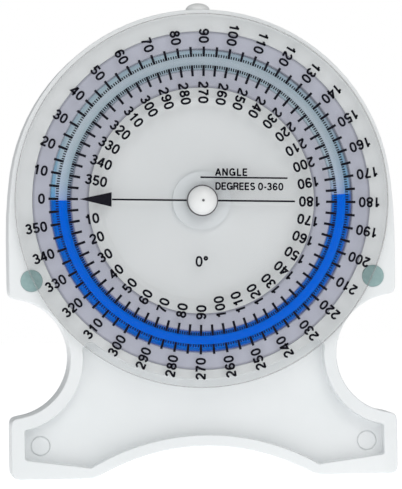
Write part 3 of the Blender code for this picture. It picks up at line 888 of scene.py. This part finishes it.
def print_scales():
    """Outer scale clockwise and inner scale counter-clockwise, both from 0 at the left."""
    outer, inner = Print(), Print()
    for degree in range(360):
        place = 180.0 - degree
        long_line = degree % 5 == 0
        width = LONG_WIDTH if long_line else SHORT_WIDTH
        radial(outer, place, OUTER_TICK[0], OUTER_TICK[1] if long_line else OUTER_TICK[2], width)
        radial(inner, place, INNER_TICK[0], INNER_TICK[1] if long_line else INNER_TICK[2], width)
    outer.build("outer_degree_lines", SCALE_TURN)
    inner.build("inner_degree_lines", SCALE_TURN)
    outer, inner = Print(), Print()
    for degree in range(0, 360, 10):
        numeral(outer, 180.0 - degree, str(degree), OUTER_TEXT_R, True)
        if degree:
            numeral(inner, 180.0 + degree, str(degree), INNER_TEXT_R, False)
    outer.build("outer_numerals", SCALE_TURN)
    inner.build("inner_numerals", SCALE_TURN)


def print_pointer():
    page = Print()
    page.polygon([(POINTER_TIP, 0.0), (POINTER_BASE, POINTER_HALF), (POINTER_BASE, -POINTER_HALF)])
    page.stroke([(-23.2, 0.0), (23.9, 0.0)], 0.46)
    page.stroke([(-0.55, 5.95), (21.9, 5.95)], 0.42)
    page.build("zero_pointer", SCALE_TURN)
    words = Print()
    words.text("ANGLE", 3.3, 6.4, 1.9, weight=0.22, spacing=1.2)
    words.text("DEGREES 0-360", 3.3, 2.8, 1.88, weight=0.215, spacing=1.03)
    words.text("0°", -1.6, -17.0, 2.7, weight=0.19)
    words.build("dial_words", SCALE_TURN)


# ----------------------------------------------------------------------------- make everything

build_housing()
build_plug()
build_ring()
build_fluid()
build_dial()
print_scales()
print_pointer()

KEPT = {
    "back_cover": COVER_WHITE, "dial_washer": NYLON, "knob_washer": KNOB_WASHER_PAINTED_SHADE, "plug_seal": SEAL,
    "friction_pad_left": PAD, "friction_pad_right": PAD, "pivot_pin": DARK_STEEL,
}
for name, node in nodes.items():
    if name in KEPT:
        coat(node, KEPT[name])
    elif name.startswith(("cover_screw", "wave", "retaining")):
        coat(node, STEEL)


# ----------------------------------------------------------------------------- stage, light, camera

def stage_plane(name, size, location, rotation, colour, glow):
    half = size / 2
    mesh = bpy.data.meshes.new(name)
    corners = [(-half, -half, 0), (half, -half, 0), (half, half, 0), (-half, half, 0)]
    mesh.from_pydata(corners, [], [[0, 1, 2, 3]])
    made = bpy.data.objects.new(name, mesh)
    made.location = location
    made.rotation_euler = rotation
    bpy.context.scene.collection.objects.link(made)
    look = Look(name + "_white", Base_Color=colour, Roughness=1.0, Specular_IOR_Level=0.0,
                Emission_Color=(1.0, 1.0, 1.0), Emission_Strength=glow)
    coat(made, look.material)


def area_light(name, location, target, size, power, colour=(1.0, 1.0, 1.0)):
    data = bpy.data.lights.new(name, "AREA")
    data.energy = power
    data.size = size
    data.color = colour
    made = bpy.data.objects.new(name, data)
    made.location = location
    made.rotation_euler = (Vector(target) - Vector(location)).to_track_quat("-Z", "Y").to_euler()
    bpy.context.scene.collection.objects.link(made)


def world_light(strength):
    """Soft white surroundings, seen as plain white behind the object."""
    world = bpy.data.worlds.new("surroundings")
    bpy.context.scene.world = world
    world.use_nodes = True
    tree = world.node_tree
    shade = tree.nodes["Background"]
    shade.inputs["Color"].default_value = (0.97, 0.985, 1.0, 1.0)
    shade.inputs["Strength"].default_value = strength
    plain = tree.nodes.new("ShaderNodeBackground")
    plain.inputs["Color"].default_value = (1.0, 1.0, 1.0, 1.0)
    plain.inputs["Strength"].default_value = 1.0
    ray = tree.nodes.new("ShaderNodeLightPath")
    mix = tree.nodes.new("ShaderNodeMixShader")
    tree.links.new(ray.outputs["Is Camera Ray"], mix.inputs["Fac"])
    tree.links.new(shade.outputs["Background"], mix.inputs[1])
    tree.links.new(plain.outputs["Background"], mix.inputs[2])
    tree.links.new(mix.outputs["Shader"], tree.nodes["World Output"].inputs["Surface"])


def camera():
    distance = 1.1
    azimuth, elevation = math.radians(-4.5), math.radians(-0.2)
    view_width = 0.1031
    target = Vector((-0.51 * MM, DIAL_FRONT * MM, (DIAL_Z - 11.3) * MM))
    away = Vector((math.sin(azimuth), -math.cos(azimuth), math.tan(elevation))).normalized()
    data = bpy.data.cameras.new("camera")
    data.sensor_fit = "HORIZONTAL"
    data.sensor_width = 36.0
    data.lens = 36.0 * distance / view_width
    data.clip_start = 0.01
    made = bpy.data.objects.new("camera", data)
    made.location = target + distance * away
    made.rotation_mode = "QUATERNION"
    roll = Quaternion((0.0, 0.0, 1.0), math.radians(-0.85))
    made.rotation_quaternion = (-away).to_track_quat("-Z", "Y") @ roll
    bpy.context.scene.collection.objects.link(made)
    bpy.context.scene.camera = made


stage_plane("floor", 3.0, (0.0, 0.3, 0.0), (0.0, 0.0, 0.0), (0.85, 0.85, 0.85), 0.75)
world_light(0.34)
area_light("key", (0.22, -0.75, 0.75), (0.0, 0.0, 0.07), 0.8, 4.2, (1.0, 0.99, 0.97))
area_light("fill", (-0.6, -0.7, 0.25), (0.0, 0.0, 0.07), 0.6, 0.9, (0.95, 0.98, 1.0))
bpy.context.scene.view_settings.view_transform = "Standard"
camera()
